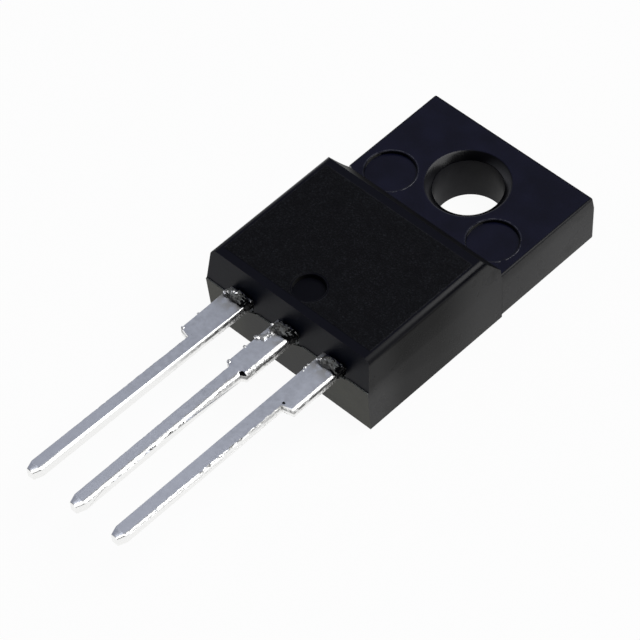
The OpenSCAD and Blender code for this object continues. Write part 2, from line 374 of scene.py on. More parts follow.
def tab(s):
    """The mounting tab, drafted both ways from its parting line, with the groove beside the block."""
    bm = bmesh.new()
    half = HALF_WIDTH - s["tab_inset"]
    start = -s["step"] - TONGUE
    bmesh.ops.create_cube(bm, size=1)
    bmesh.ops.transform(bm, matrix=Matrix.LocRotScale(
        Vector((0, (TAB_END + start) / 2, s["tab_thickness"] / 2)), None,
        Vector((half * 2, TAB_END - start, s["tab_thickness"]))), verts=bm.verts)
    split_at_height(bm, s["tab_parting"])
    for vert, lean in draft_sides(bm, s["tab_parting"], s):
        vert.co.y -= lean if vert.co.y > 0 else 0

    def at_end(co):
        return co.y > TAB_END - 0.3

    def at_face(co):
        return co.z > s["tab_thickness"] - NEAR

    def at_foot(co):
        return co.z < NEAR

    upright = [e for e in bm.edges if both_ends(e, at_end) and rise_of(e) > 0.3]
    bevel(bm, upright, s["corner_radius"], 8)
    bevel(bm, sharp_edges(bm, at_face), s["tab_bevel"], 2)
    bevel(bm, sharp_edges(bm, at_foot), FOOT_ROUND, 2)
    for vert in bm.verts:
        if vert.co.z < 0.001:
            vert.co.z = 0
    bmesh.ops.remove_doubles(bm, verts=bm.verts, dist=SLIVER)
    piece = make_object(bm, "tab")
    neck = half - s["groove_depth"]
    rear = s["groove_width"] - s["step"]
    for low, high in ((-HALF_WIDTH - OVER, -neck), (neck, HALF_WIDTH + OVER)):
        groove = box_tool("groove", (low, start - OVER, -OVER), (high, rear, THICKNESS))
        combine(piece, groove, "DIFFERENCE")
    return piece


def turned_tool(name, centre, profile, segments):
    """A closed turned body: (radius, height) points spun about the vertical through centre."""
    bm = bmesh.new()
    ring = [bm.verts.new((centre[0] + r, centre[1], z)) for r, z in profile]
    ends = [bm.edges.new(pair) for pair in zip(ring, ring[1:])]
    bmesh.ops.spin(bm, geom=[*ring, *ends], cent=(*centre, 0), axis=(0, 0, 1), angle=math.tau,
                   steps=segments, use_merge=True)
    bmesh.ops.remove_doubles(bm, verts=bm.verts, dist=1e-4)
    return make_object(bm, name)


def box_tool(name, low, high):
    bm = bmesh.new()
    bmesh.ops.create_cube(bm, size=1)
    low, high = Vector(low), Vector(high)
    bmesh.ops.transform(bm, matrix=Matrix.LocRotScale((low + high) / 2, None, high - low), verts=bm.verts)
    return make_object(bm, name)


def lead_middles():
    """Each lead's name and the X of its axis, from left to right."""
    pitch = MOUNTS["leads"]["dims"]["spacing_x_mm"]
    return [(name, pitch * (place - 1)) for place, name in enumerate(LEADS)]


def right_sides():
    """The X of each lead's right side where it leaves the body."""
    return [x + ROOTS[name][1] for name, x in lead_middles()]


def sag_ledge(bm, s):
    """Bends the parting line down at the right of each lead, mostly within the planes of the front."""
    curve = ((-0.6, 0), (-0.5, 1), (-0.25, 0.8), (0, 0.45), (0.15, 0.27), (0.34, 0.09), (0.55, 0))
    front = -s["front"]

    def cut_front(place, normal, low, high):
        faces = [f for f in bm.faces if f.calc_center_median().y < front + 0.3
                 and low < f.calc_center_median().z < high]
        around = [*faces, *(e for f in faces for e in f.edges), *(v for f in faces for v in f.verts)]
        bmesh.ops.bisect_plane(bm, geom=list(dict.fromkeys(around)), plane_co=place, plane_no=normal)

    low, high = PARTING - 0.6, PARTING + 0.3
    for height in (low, high):
        cut_front((0, 0, height), (0, 0, 1), 0, THICKNESS)
    drops = list(zip(right_sides(), (s["dip"], s["dip"], s["dip_right"])))
    for right, _ in drops:
        for across, _ in curve:
            cut_front((right + across, 0, 0), (1, 0, 0), low, high)
    settle(bm)
    for vert in bm.verts:
        co = vert.co
        if abs(co.z - PARTING) < 1e-4 and co.y < front + s["ledge"] + 1e-3:
            sunk = sum(drop * share for right, drop in drops for across, share in curve
                       if abs(co.x - right - across) < 1e-4)
            lower = front + sunk * math.tan(s["low_draft"])
            upper = front + s["ledge"] - sunk * math.tan(s["front_draft"])
            co.y = max(upper, lower + 0.02) if co.y > front + s["ledge"] / 2 else lower
            co.z -= sunk
    bmesh.ops.connect_verts_nonplanar(bm, angle_limit=2e-3, faces=bm.faces)


def rugged_lump(middle, radii, rough, rng, detail=4):
    """A broken lump: a ball, made squarish, stretched, and pushed about by two sizes of noise."""
    bm = bmesh.new()
    bmesh.ops.create_icosphere(bm, subdivisions=detail, radius=1)
    shift = Vector([rng.uniform(0, 50) for _ in range(3)])
    for vert in bm.verts:
        square = max(abs(axis) for axis in vert.co)
        co = vert.co * (0.55 + 0.45 / square)
        co = Vector(a * b for a, b in zip(co, radii)) + Vector(middle)
        push = noise.noise_vector(co * 3.5 + shift) * 1.4 + noise.noise_vector(co * 9 + shift) * 0.7
        vert.co = co + push * rough
    return make_object(bm, "rugged_lump")


def torn_resin(x, s, rng):
    """Resin that flowed over a lead's root and was broken off."""
    front = -s["front"]
    return [
        rugged_lump((x, front - 0.17, LEAD_TOP), (0.62, 0.3, 0.24), 0.06, rng),
        rugged_lump((x - 0.42, front - 0.3, LEAD_TOP), (0.24, 0.18, 0.15), 0.06, rng),
    ]


def painted_shade_lump(right, s):
    """Centre and radii of the lump that hides each lead's right end, painted black as painted shade."""
    return Vector((right - 0.1, -0.15 - s["front"], LEAD_TOP - 0.14)), (0.18, 0.22, 0.28)


def broken_pit(right, s, rng):
    """The hole at the right end of each lump, where resin broke out of the front face; its faces are painted
    near black as painted shade.
    """
    return rugged_lump((right - 0.05, 0.02 - s["front"], LEAD_TOP - 0.28), (0.2, 0.2, 0.42), 0.05, rng)


def scatter(start, end, radii, count, rng):
    """Centres and radii of small crumbs strewn along a line."""
    start, end = Vector(start), Vector(end)
    crumbs = []
    for place in range(count):
        centre = start.lerp(end, (place + 0.5) / count)
        stray = Vector((rng.uniform(-1, 1), rng.uniform(-1, 1), rng.uniform(-0.4, 0.4))) * 0.09
        crumbs.append((centre + stray, rng.uniform(*radii)))
    return crumbs


def strew(piece, crumbs, rng):
    """Joins a broken crumb to the piece at each place."""
    for centre, radius in crumbs:
        combine(piece, rugged_lump(centre, (radius, radius, radius * 0.7), radius * 0.3, rng, 2), "UNION")


def on_crumb(middle, crumbs):
    return any((middle - centre).length < radius * 1.4 for centre, radius in crumbs)


def round_rim(piece, centre, radius, height, offset):
    """Rounds the rim that a turned tool left in a flat face."""
    bm = bmesh.new()
    bm.from_mesh(piece.data)

    def on_rim(co):
        return abs((co.xy - Vector(centre)).length - radius) < 0.004 and abs(co.z - height) < 0.002

    bevel(bm, [edge for edge in bm.edges if both_ends(edge, on_rim)], offset, 2)
    bm.to_mesh(piece.data)
    bm.free()
    in_order(piece.data)


def finish_mesh(piece, smooth_angle=32):
    """Scales the mesh to metres, shades it smooth up to an angle and weighs its normals by face area."""
    piece.data.transform(Matrix.Scale(MM, 4))
    for polygon in piece.data.polygons:
        polygon.use_smooth = True
    piece.data.set_sharp_from_angle(angle=math.radians(smooth_angle))
    weigh = piece.modifiers.new("weighted normals", "WEIGHTED_NORMAL")
    weigh.keep_sharp = True


def wear(piece, materials, choose=None):
    """Gives the piece its materials by name, and each face the one that choose names."""
    piece.data.materials.clear()
    for material in materials.values():
        piece.data.materials.append(material)
    if choose:
        slots = {name: place for place, name in enumerate(materials)}
        for polygon in piece.data.polygons:
            polygon.material_index = slots[choose(polygon.center / MM, polygon.normal)]


# Materials


class Value:
    """A number socket that takes part in Python sums by adding Math nodes."""

    def __init__(self, graph, socket):
        self.graph = graph
        self.socket = socket

    def sum(self, operation, first, second=0.0):
        node = self.graph.add("ShaderNodeMath", {"operation": operation}, {0: first, 1: second})
        return Value(self.graph, node.outputs[0])

    def __add__(self, other):
        return self.sum("ADD", self, other)

    def __sub__(self, other):
        return self.sum("SUBTRACT", self, other)

    def __mul__(self, other):
        return self.sum("MULTIPLY", self, other)

    def __rsub__(self, other):
        return self.sum("SUBTRACT", other, self)

    def __abs__(self):
        return self.sum("ABSOLUTE", self)

    __radd__ = __add__
    __rmul__ = __mul__

    def rise(self, low, high):
        """0 below low, 1 above high and smooth between; falls instead if low is above high."""
        node = self.graph.add("ShaderNodeMapRange", {"interpolation_type": "SMOOTHSTEP"}, {
            "Value": self, "From Min": low, "From Max": high, "To Min": 0.0, "To Max": 1.0})
        return Value(self.graph, node.outputs[0])

    def more(self, other):
        return self.sum("MAXIMUM", self, other)

    def less(self, other):
        return self.sum("MINIMUM", self, other)


class Graph:
    """A node tree, with one method that adds any node."""

    def __init__(self, tree):
        self.tree = tree

    def add(self, kind, settings=None, sockets=None):
        node = self.tree.nodes.new(kind)
        for name, setting in (settings or {}).items():
            setattr(node, name, setting)
        self.fill(node, sockets or {})
        return node

    def fill(self, node, sockets):
        """Links or sets a node's sockets, by name or number."""
        for name, value in sockets.items():
            target = node.inputs[name]
            if isinstance(value, Value):
                value = value.socket
            if isinstance(value, bpy.types.NodeSocket):
                self.tree.links.new(value, target)
            else:
                target.default_value = value

    def parts(self, vector):
        node = self.add("ShaderNodeSeparateXYZ", {}, {"Vector": vector})
        return [Value(self, socket) for socket in node.outputs]


class Finish(Graph):
    """A material in the making, with its place in millimetres."""

    def __init__(self, name):
        self.material = bpy.data.materials.new(name)
        self.material.use_nodes = True
        super().__init__(self.material.node_tree)
        self.shader = self.tree.nodes["Principled BSDF"]
        coordinates = self.add("ShaderNodeTexCoord")
        scaled = self.add("ShaderNodeVectorMath", {"operation": "SCALE"}, {
            "Vector": coordinates.outputs["Object"], "Scale": 1 / MM})
        self.place = scaled.outputs["Vector"]
        self.x, self.y, self.z = self.parts(self.place)

    def cloud(self, scale, detail=2.0, rough=0.5, stretch=None):
        """Noise around 0.5. scale counts the blobs per millimetre."""
        place = self.place
        if stretch:
            stretched = self.add("ShaderNodeVectorMath", {"operation": "MULTIPLY"}, {0: place, 1: stretch})
            place = stretched.outputs[0]
        node = self.add("ShaderNodeTexNoise", {}, {
            "Vector": place, "Scale": scale, "Detail": detail, "Roughness": rough})
        return Value(self, node.outputs[0])

    def away_from(self, centre, place=None):
        """Distance from a point, in millimetres."""
        node = self.add("ShaderNodeVectorMath", {"operation": "DISTANCE"}, {
            0: self.place if place is None else place, 1: centre})
        return Value(self, node.outputs["Value"])

    def mix(self, factor, first, second):
        """Mixes two colours by a number. 6 and 7 are the node's colour sockets."""
        node = self.add("ShaderNodeMix", {"data_type": "RGBA"}, {0: factor, 6: first, 7: second})
        return node.outputs[2]

    def bump(self, height, distance, strength=1.0, under=None):
        """A bump of a height field; distance is in millimetres."""
        sockets = {"Height": height, "Distance": distance * MM, "Strength": strength}
        if under is not None:
            sockets["Normal"] = under
        return self.add("ShaderNodeBump", {}, sockets).outputs["Normal"]

    def set(self, **values):
        """Sets the shader's sockets: links for what varies, plain values for what doesn't."""
        self.fill(self.shader, {name.replace("_", " "): value for name, value in values.items()})
        return self.material


def opaque(tint, share=1.0):
    """A colour, made lighter or darker by share, with its alpha."""
    return (*(channel * share for channel in tint), 1)


def marked_face_finish(look, s):
    """The marked face: a spark-eroded field inside a smooth border, and a smooth dimple."""
    finish = Finish("compound_marked_face")
    front, rear = -s["front"], -s["step"] - s["ramp"]
    rim = s["dimple_radius"]
    field = abs(finish.x).rise(HALF_WIDTH - 0.5, HALF_WIDTH - 0.58)
    field = field * finish.y.rise(front + 0.78, front + 0.84)
    field = field * finish.y.rise(rear - 0.36, rear - 0.42)
    radial = finish.away_from((0, s["dimple_back"] - s["front"], THICKNESS))
    dimple = radial.rise(rim + 0.12, rim + 0.06)
    grained = field * (1 - dimple)
    grain = finish.cloud(12, 3, 0.7)
    patch = finish.cloud(1.8, 3)
    border, eroded = opaque(look.compound, 1.6), opaque(look.compound, 0.4)
    tone = finish.mix(field * (1 - dimple * 0.5), border, eroded)
    specks = grain.rise(0.46, 0.74) * (0.15 + grained * 0.85) * patch.rise(0.2, 0.65)
    tone = finish.mix(specks, tone, opaque((0.9, 1, 1.25), 0.018))
    rough = 0.2 + grained * 0.1 + patch * 0.06
    normal = finish.bump(grain * grained + finish.cloud(22, 1) * 0.12, 0.03, 0.8)
    return finish.set(Base_Color=tone, Roughness=rough, Normal=normal, Specular_IOR_Level=0.09)


def skin_finish(look, name, share, warm, roughness, specular, speckle=0.3):
    """Smooth mould skin: cloudy gloss, faint specks and a slightly uneven surface."""
    finish = Finish(name)
    tint = [c * share * w for c, w in zip(look.compound, warm)]
    cloud = finish.cloud(1.6, 3)
    specks = finish.cloud(14, 2).rise(0.6, 0.74) * speckle
    tone = finish.mix(specks, opaque(tint), opaque(tint, 2.6))
    rough = roughness + (cloud - 0.5) * 0.14
    normal = finish.bump(finish.cloud(7, 3), 0.006, 0.4)
    return finish.set(Base_Color=tone, Roughness=rough, Normal=normal, Specular_IOR_Level=specular)


def tab_face_finish(look, s):
    """The tab's face: violet gloss, clouded, with a fine burr round each pin mark, painted lighter as a
    highlight.
    """
    finish = Finish("compound_tab_face")
    mirrored = finish.add("ShaderNodeVectorMath", {"operation": "ABSOLUTE"}, {0: finish.place})
    mark = (s["mark_side"], s["mark_back"], s["tab_thickness"])
    radial = finish.away_from(mark, mirrored.outputs[0])
    burr = abs(radial - s["mark_radius"] - 0.06).rise(0.05, 0.01)
    burr = burr * finish.y.rise(-0.3, -0.4) * finish.cloud(4, 3).rise(0.3, 0.6)
    cloud = finish.cloud(0.7, 3)
    violet = [c * w for c, w in zip(look.compound, (0.8, 0.85, 2.3))]
    tone = finish.mix(cloud.rise(0.25, 0.75), opaque(violet, 0.65), opaque(violet, 1.1))
    tone = finish.mix(finish.cloud(14, 2).rise(0.6, 0.74) * 0.4, tone, opaque(violet, 2.2))
    # Painted highlight: the burr ring is painted lighter than the face, over its real bump.
    tone = finish.mix(burr * 0.6, tone, opaque(look.compound, 6))
    rough = 0.2 + cloud * 0.1
    normal = finish.bump(finish.cloud(7, 3) * 0.2 + burr, 0.03, 0.5)
    return finish.set(Base_Color=tone, Roughness=rough, Normal=normal, Specular_IOR_Level=0.36)


def fillet_finish(look):
    """The round long edges and what else is plain, duller towards the front."""
    finish = Finish("compound_skin")
    cloud = finish.cloud(1.6, 3)
    specks = finish.cloud(14, 2).rise(0.6, 0.74) * 0.3
    tone = finish.mix(specks, opaque(look.compound, 0.7), opaque(look.compound, 2.2))
    rough = 0.22 + finish.y.rise(-5, -11.6) * 0.26 + cloud * 0.1
    normal = finish.bump(finish.cloud(7, 3), 0.006, 0.4)
    return finish.set(Base_Color=tone, Roughness=rough, Normal=normal, Specular_IOR_Level=0.17)


def lower_front_finish(look):
    """The front below the parting line: a paler olive tone as a painted reflection of the floor, with
    painted shade between the leads.
    """
    finish = Finish("compound_lower")
    dim = finish.x.rise(-3.6, -2.2) * finish.x.rise(2.6, 1.4)
    tint = [c * w for c, w in zip(look.compound, (1.2, 1.15, 0.45))]
    cloud = finish.cloud(1.4, 3).rise(0.3, 0.7)
    # Painted shade between the leads, and a painted reflection of the floor elsewhere.
    tone = finish.mix(dim, opaque(tint, 9), opaque(tint, 1.2))
    tone = finish.mix(cloud * 0.3, tone, opaque(tint, 4))
    normal = finish.bump(finish.cloud(7, 3), 0.006, 0.4)
    return finish.set(Base_Color=tone, Roughness=0.3, Normal=normal, Specular_IOR_Level=0.09)


def metal_crumb_finish(look):
    """Bright torn metal of the crumbs and burrs."""
    finish = Finish("metal_crumbs")
    grit = finish.cloud(9, 3)
    rough = 0.3 + grit * 0.1
    normal = finish.bump(grit, 0.03, 0.6)
    return finish.set(Base_Color=opaque(look.sheared), Metallic=1.0, Roughness=rough, Normal=normal)


def side_finish(look):
    """The long sides: satin skin, painted paler towards both ends and low down at the front as a painted
    reflection.
    """
    finish = Finish("compound_side")
    low = finish.z.rise(PARTING + 0.3, PARTING - 0.5)
    rear = finish.y.rise(-7.5, -4.2) * 0.7 + finish.y.rise(-2.5, 3) * 0.5
    front = finish.y.rise(-9.2, -11.2) * (0.5 + low * 0.4)
    cloud = finish.cloud(0.9, 3)
    specks = finish.cloud(14, 2).rise(0.6, 0.74) * 0.3
    grey = [look.compound[0]] * 3
    # Painted reflection: the sides are painted paler towards both ends, and low down near the front.
    tone = finish.mix(rear.more(front) * cloud.rise(-0.1, 0.5), opaque(grey), opaque(grey, 14))
    tone = finish.mix(specks, tone, opaque(grey, 8))
    normal = finish.bump(finish.cloud(7, 3), 0.006, 0.4)
    return finish.set(Base_Color=tone, Roughness=0.24 + cloud * 0.08, Normal=normal, Specular_IOR_Level=0.06)


def torn_finish(look):
    """Resin broken off rough: dark grains, grey dust and black crevices."""
    finish = Finish("compound_torn")
    grit = finish.cloud(6, 4, 0.7)
    dust = finish.cloud(2.2, 2).rise(0.4, 0.65)
    tone = finish.mix(grit.rise(0.38, 0.6), opaque(look.flash, 0.25), opaque(look.flash, 1.8))
    tone = finish.mix(grit.rise(0.56, 0.68) * dust, tone, opaque(look.flash, 4))
    normal = finish.bump(grit, 0.05, 0.8)
    return finish.set(Base_Color=tone, Roughness=0.5, Normal=normal, Specular_IOR_Level=0.25)


def plating_finish(look):
    """Matte tin: soft mottling, faint lengthwise roll marks and pin-prick pits."""
    finish = Finish("tin_plating")
    mottle = finish.cloud(3.2, 4, 0.65)
    rolled = finish.cloud(6, 2, stretch=(1, 0.08, 1))
    pits = finish.cloud(10, 2).rise(0.71, 0.77)
    tone = finish.mix(mottle.rise(0.3, 0.7), opaque(look.plating, 0.93), opaque(look.plating, 1.06))
    tone = finish.mix(pits * 0.6, tone, opaque(look.plating, 0.45))
    # Painted light: the plating is painted paler towards the tips.
    tone = finish.mix(finish.y.rise(-15, -21), tone, opaque(look.plating, 1.12))
    near_root = finish.y.rise(BODY_LOW.y - 0.9, BODY_LOW.y + 0.1) * finish.cloud(2.5, 3).rise(0.35, 0.6)
    tone = finish.mix(near_root, tone, opaque((0.5, 0.5, 0.5)))
    rough = 0.42 + mottle * 0.1
    normal = finish.bump(mottle * 0.6 + rolled * 0.4 - pits * 0.4, 0.008, 0.5)
    return finish.set(Base_Color=tone, Metallic=1.0, Roughness=rough, Normal=normal)


def sheared_finish(look, rolled):
    """Cut sides: a bright rolled edge, a torn band below it near the root painted dark as a reflection of
    the black body, then bright metal.
    """
    finish = Finish("tin_sheared_side")
    torn = finish.cloud(6, 4, 0.7, stretch=(1, 0.6, 1))
    edge = LEAD_TOP - rolled / 2
    under = finish.z.rise(edge - 0.01, edge - 0.05) * finish.z.rise(PARTING + 0.14, PARTING + 0.26)
    root = finish.y.rise(BODY_LOW.y - 5.5, BODY_LOW.y - 1)
    spots = torn.rise(0.62, 0.5) * under * root
    nicks = torn.rise(0.6, 0.66) * root
    lines = finish.cloud(9, 2, stretch=(1, 1, 0.2))
    # Painted reflection: spots and nicks near the root are painted dark, standing for the black body that
    # the side mirrors.
    tone = finish.mix(spots, opaque(look.sheared), opaque(look.sheared, 0.08))
    tone = finish.mix(nicks, tone, opaque(look.sheared, 0.06))
    normal = finish.bump(lines * 0.5 + torn * root, 0.03, 0.7)
    rough = 0.26 + finish.z.rise(edge - 0.04, edge) * 0.1 + spots * 0.3
    return finish.set(Base_Color=tone, Metallic=1.0, Roughness=rough, Normal=normal)


def plain_metal(name, tint, roughness, scale):
    """Metal of the pieces sealed inside, with a fine crystalline mottling."""
    finish = Finish(name)
    mottle = finish.cloud(scale, 3)
    tone = finish.mix(mottle, opaque(tint, 0.9), opaque(tint, 1.08))
    normal = finish.bump(mottle, 0.006, 0.5)
    return finish.set(Base_Color=tone, Metallic=0.9, Roughness=roughness + mottle * 0.1, Normal=normal)


def cut_pocket(body, name, centre, radius, low, high, segments):
    """Cuts a round hole with flat ends."""
    profile = [(0, low), (radius, low), (radius, high), (0, high)]
    combine(body, turned_tool(name, centre, profile, segments), "DIFFERENCE")


def cut_marks(body, s):
    """Cuts the screw hole, the pin marks, the dimple and the side notch, and rounds the rims of all but the
    notch.
    """
    lip = s["tab_thickness"]
    sink = lip - s["sink_depth"]
    middle = (0, 0)
    marks = {
        "left_mark": (-s["mark_side"], -s["mark_back"]),
        "right_mark": (s["mark_side"], -s["mark_back"]),
    }
    dimple = (0, s["dimple_back"] - s["front"])
    notch = (-HALF_WIDTH, -s["step"] - 0.18)
    combine(body, turned_tool("hole", middle, [
        (0, -OVER), (HOLE_RADIUS, -OVER), (HOLE_RADIUS, sink),
        (s["sink_radius"], lip), (s["sink_radius"], lip + OVER), (0, lip + OVER)], 96), "DIFFERENCE")
    for name, centre in marks.items():
        cut_pocket(body, name, centre, s["mark_radius"], lip - s["mark_depth"], lip + OVER, 72)
    floor = THICKNESS - s["dimple_depth"]
    cut_pocket(body, "dimple", dimple, s["dimple_radius"], floor, THICKNESS + OVER, 64)
    round_rim(body, middle, s["sink_radius"], lip, 0.06)
    round_rim(body, middle, HOLE_RADIUS, sink, 0.03)
    for centre in marks.values():
        round_rim(body, centre, s["mark_radius"], lip, 0.04)
    round_rim(body, dimple, s["dimple_radius"], THICKNESS, 0.02)
    cut_pocket(body, "notch", notch, s["notch_radius"], -OVER, THICKNESS + OVER, 48)


def add_resin(body, s, rng):
    """Joins the resin round the leads' roots to the body; returns the metal crumbs and the lumps painted
    black as shade.
    """
    crumbs = []
    dark = []
    lumps = zip(lead_middles(), (-0.28, 0.1, 0.46), (6, 1, 3))
    for (_, x), shift, count in lumps:
        for lump in torn_resin(x + shift, s, rng):
            combine(body, lump, "UNION")
        start = Vector((x + shift - 0.6, -s["front"] - 0.37, LEAD_TOP + 0.17))
        end = start + Vector((0.1 * count, 0.035 * count, 0.04))
        crumbs += scatter(start, end, (0.06, 0.09), count, rng)
    for right in right_sides():
        middle, radii = painted_shade_lump(right, s)
        dark.append((middle, 0.3))
        combine(body, rugged_lump(middle, radii, 0.04, rng, 3), "UNION")
    strew(body, crumbs, rng)
    return crumbs, dark


def body_finishes(look, s):
    """The body's materials, by the place where they belong."""
    plain, bluish, yellowish = (1, 1, 1), (0.8, 1, 1.5), (1, 1, 0.6)

    def skin(place, share, warm, roughness, specular, speckle=0.3):
        return skin_finish(look, "compound_" + place, share, warm, roughness, specular, speckle)

    return {
        "skin": fillet_finish(look),
        "marked_face": marked_face_finish(look, s),
        "tab_face": tab_face_finish(look, s),
        "lower_front": lower_front_finish(look),
        "torn": torn_finish(look),
        "front": skin("front", 0.8, bluish, 0.34, 0.1),
        "side": side_finish(look),
        # Painted shade: the pits and the lumps at the leads' right ends are painted darker than the
        # compound.
        "pit": skin("pit", 0.3, plain, 0.7, 0.05),
        "bore": skin("bore", 1.0, plain, 0.5, 0.16),
        "cone": skin("cone", 0.3, plain, 0.25, 0.28),
        # Painted highlights: the front's top edge is painted lighter, the ledge and the front right corner
        # near white.
        "worn_edge": skin("worn_edge", 5, plain, 0.35, 0.4, 0.8),
        "bright_edge": skin("bright_edge", 45, yellowish, 0.35, 0.6),
        "crumb": metal_crumb_finish(look),
        "ramp": skin("ramp", 0.45, (1, 1, 0.75), 0.45, 0.03),
    }


def body_places(s, crumbs, dark):
    """Makes the test that names the material of a face from its middle and its normal."""
    front = -s["front"]

    def at_front(middle, normal):
        if on_crumb(middle, crumbs):
            return "crumb"
        if middle.y < front - 0.02:
            # The lumps at the leads' right ends take the painted shade.
            return "pit" if on_crumb(middle, dark) else "torn"
        # Painted highlights on the front's top edge, the ledge and the front right corner.
        if normal.y > -0.9 and abs(normal.x) < 0.3 and normal.z > 0.2:
            return "worn_edge" if middle.z > PARTING + 0.1 else "bright_edge"
        if normal.x > 0.3 and normal.y < -0.3 and middle.x > HALF_WIDTH - 0.4:
            return "bright_edge"
        if normal.y > -0.97:
            # The pits beside the lead roots take the painted shade.
            in_pit = abs(middle.z - LEAD_TOP) < 0.7 and abs(middle.x) < 4
            return "pit" if in_pit else "side"
        return "lower_front" if normal.y < -0.997 else "front"

    def at(middle, normal):
        if middle.y < front + 0.45 and abs(normal.x) < 0.9 and normal.z < 0.97:
            return at_front(middle, normal)
        # The ledge's flat top takes the painted highlight.
        if middle.y < front + 0.1 and normal.z > 0.9:
            return "bright_edge"
        if middle.z > s["tab_thickness"] + 0.05 and normal.z > 0.5 and abs(normal.x) < 0.2:
            return "marked_face" if normal.z > 0.9 else "ramp"
        if middle.y > -s["step"] and normal.z > 0.97:
            return "tab_face"
        if middle.xy.length < s["sink_radius"] + 0.05 and middle.z > 0.01:
            return "bore" if abs(normal.z) < 0.3 else "cone"
        return "side" if abs(normal.x) > 0.9 else "skin"

    return at


class OBJECT_OT_moulded_body(bpy.types.Operator):
    """Model the moulded body with its tab, hole, marks, notch and torn resin"""

    bl_idname = "transistor.moulded_body"
    bl_label = "Moulded body"

    def execute(self, context):
        s = sizes(context)
        rng = random.Random(BODY_SEED)
        noise.seed_set(BODY_SEED)
        body = block(s)
        for right in right_sides():
            combine(body, broken_pit(right, s, rng), "DIFFERENCE")
        combine(body, tab(s), "UNION")
        cut_marks(body, s)
        crumbs, dark = add_resin(body, s, rng)
        finish_mesh(body)
        wear(body, body_finishes(context.scene.transistor_finish, s), body_places(s, crumbs, dark))
        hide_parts("moulded_body")
        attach(body, "root")
        return {"FINISHED"}


def dressed_lead(name, axis, s):
    """A copy of the stamped lead from the frame, merged, with the punch's rolled and broken edges."""
    rolled = s["rolled_edge"]
    bm = bmesh.new()
    bm.from_mesh(NODES[name].data)
    bm.transform(Matrix.Scale(1 / MM, 4))
    bmesh.ops.remove_doubles(bm, verts=bm.verts, dist=1e-4)
    bmesh.ops.dissolve_limit(bm, angle_limit=math.radians(1), verts=bm.verts, edges=bm.edges)
    bm.normal_update()

    def at_top(co):
        return co.z > LEAD_TOP - NEAR

    def in_roll(co):
        return LEAD_TOP - rolled - NEAR < co.z < LEAD_TOP - NEAR

    def rim():
        """The top's edges, as far as they stand out of the body or nearly."""
        return [e for e in sharp_edges(bm, at_top) if any(v.co.y < 0.3 - s["front"] for v in e.verts)]

    def looks_right(edge):
        return any(face.normal.x > 0.25 for face in edge.link_faces)

    bevel(bm, [e for e in rim() if looks_right(e)], rolled, 1)
    for vert in bm.verts:
        if in_roll(vert.co):
            vert.co.z = (vert.co.z + LEAD_TOP) / 2
    bm.normal_update()
    bevel(bm, sharp_edges(bm, in_roll), LEAD_ROUND, 2)
    bevel(bm, [e for e in rim() if not looks_right(e)], LEAD_ROUND, 2)
    tear_edges(bm, axis, s)
    return make_object(bm, name + "_piece")


def tear_edges(bm, axis, s):
    """Cuts the upper long edges into short runs and pushes them about, most at the right."""
    lowest = LEAD_TOP - s["rolled_edge"] - 0.02

    def outside(co):
        return co.z > lowest and co.y < 0.1 - s["front"]

    by_cuts = {}
    for edge in bm.edges:
        first, last = edge.verts
        if abs(first.co.y - last.co.y) > 0.2 and both_ends(edge, outside):
            by_cuts.setdefault(int(edge.calc_length() / TEAR_STEP), []).append(edge)
    for cuts, edges in by_cuts.items():
        left = [e for e in edges if e.is_valid]
        bmesh.ops.subdivide_edges(bm, edges=left, cuts=cuts, use_grid_fill=True)
    for vert in bm.verts:
        co = vert.co
        if co.z > lowest and TIP + 0.5 < co.y < -s["front"]:
            reach = 0.05 if co.x > axis else 0.014
            fade = min(1, 0.35 + (co.y - TIP) / 9) * reach
            push = noise.noise_vector(co * 5) * 0.7 + noise.noise_vector(co * 15)
            co.x += push.x * fade
            if co.z < LEAD_TOP - 0.001:
                co.z += push.z * fade * 0.7


def lead_damage(name, axis, s, rng):
    """Where a lead has burrs, and where its shoulder has a dark notch."""
    shoulder = -s["front"] - s["shoulder"]
    left = axis - ROOTS[name][0]
    burrs, notches = [], []
    if name != "source_lead":
        burrs.append((Vector((left + 0.06, shoulder + 0.05, LEAD_TOP - 0.04)), 0.1))
        burrs.append((Vector((left, shoulder + 1.1, LEAD_TOP - 0.05)), 0.08))
    if name == "drain_lead":
        burrs += scatter((-0.5, -13.05, LEAD_TOP), (-0.15, -12.3, LEAD_TOP), (0.11, 0.15), 6, rng)
    if name == "source_lead":
        start, end = (axis - 0.3, -13.1, LEAD_TOP), (axis - 0.3, -12.5, LEAD_TOP)
        burrs += scatter(start, end, (0.05, 0.08), 4, rng)
    if name != "gate_lead":
        notches.append((Vector((axis + 0.35, shoulder, LEAD_TOP - 0.06)), 0.09))
    return burrs, notches


def lead_places(burrs, notches):
    """Makes the test that names the material of a lead's face."""

    def at(middle, normal):
        if on_crumb(middle, burrs):
            return "burr"
        level = abs(normal.z) >= 0.97
        if on_crumb(middle, notches) and not level:
            return "notch"
        return "top" if level else "cut_side"

    return at


